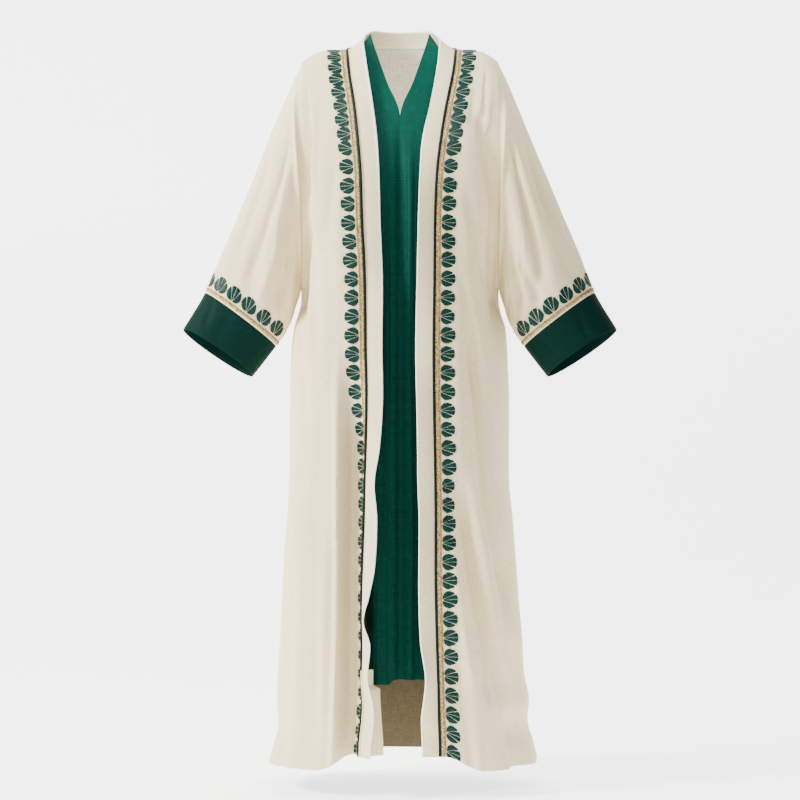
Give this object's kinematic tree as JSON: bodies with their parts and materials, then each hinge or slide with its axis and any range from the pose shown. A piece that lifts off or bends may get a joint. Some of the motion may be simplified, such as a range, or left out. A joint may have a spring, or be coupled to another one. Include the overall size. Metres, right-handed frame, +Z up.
{
  "type": "open-front robe with sewn-in inner front, worn form",
  "caption": "Long open-front robe filled out as if worn, with wide sleeves, contrast cuffs, a front and neck band with piping and braid, and an inner front panel",
  "frame": {"origin": "the middle of the neck, level with the neck ends of the shoulder seams, where the wearer's shoulders hold the robe up", "axes": "+Z up along the wearer's spine, -Y the way the robe's front faces, +X the wearer's left"},
  "size_m": [0.8632, 0.3844, 1.4655],
  "materials": {
    "linen": "cream linen, plain weave, slubby and matt",
    "green_cloth": "deep green crepe, soft sheen",
    "gold_braid": "woven old-gold braid with a faint metallic glint",
    "dark_piping": "almost black green piping cord"
  },
  "bodies": {
    "root": {"back": "linen", "front_right": "linen", "front_left": "linen", "sleeve_right": "linen", "sleeve_left": "linen", "band_right": "linen", "band_left": "linen", "facing_right": "linen", "inner_front": "green_cloth", "cuff_right": "green_cloth", "cuff_left": "green_cloth", "braid_front_right": "gold_braid", "braid_front_left": "gold_braid", "braid_neck": "gold_braid", "braid_sleeve_right": "gold_braid", "braid_sleeve_left": "gold_braid", "piping_right": "dark_piping", "piping_left": "dark_piping"}
  },
  "joints": []
}
